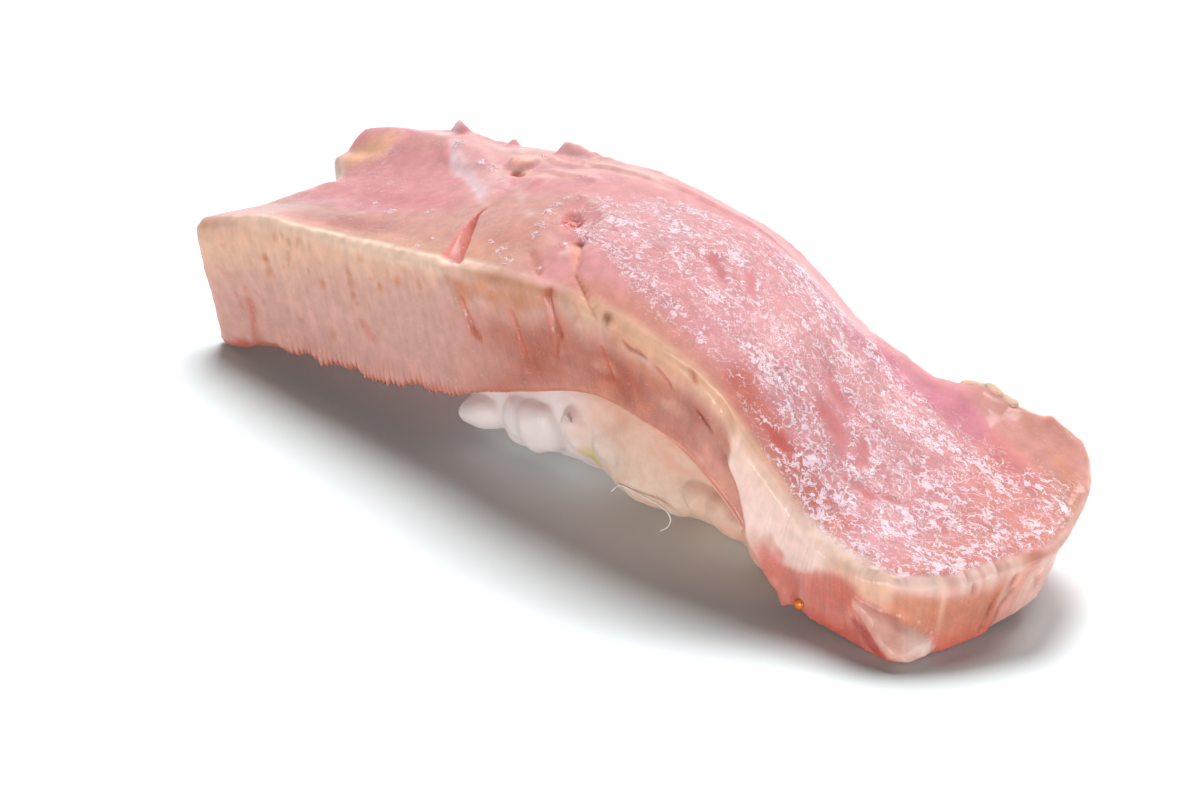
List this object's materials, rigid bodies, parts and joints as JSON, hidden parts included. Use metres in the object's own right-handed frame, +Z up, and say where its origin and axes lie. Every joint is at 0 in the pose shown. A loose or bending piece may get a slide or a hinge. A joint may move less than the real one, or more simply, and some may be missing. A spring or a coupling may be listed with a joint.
{
  "type": "albacore tuna nigiri",
  "caption": "Nigiri sushi: a thick slice of pale raw tuna draped over a small pressed pad of rice, its two ends hanging down to the table.",
  "frame": {"origin": "middle of the bounding box's bottom face, on the table under the pad", "axes": "+X along the slice towards its broad tongue end, -Y towards the long cut face, +Z up"},
  "size_m": [0.0948, 0.0284, 0.0249],
  "materials": {
    "tuna_flesh": "wet and glossy on top, satin on the cut face",
    "rice": "moist satin"
  },
  "bodies": {
    "root": {"fish_slice": "tuna_flesh", "rice_pad": "rice"}
  },
  "joints": []
}
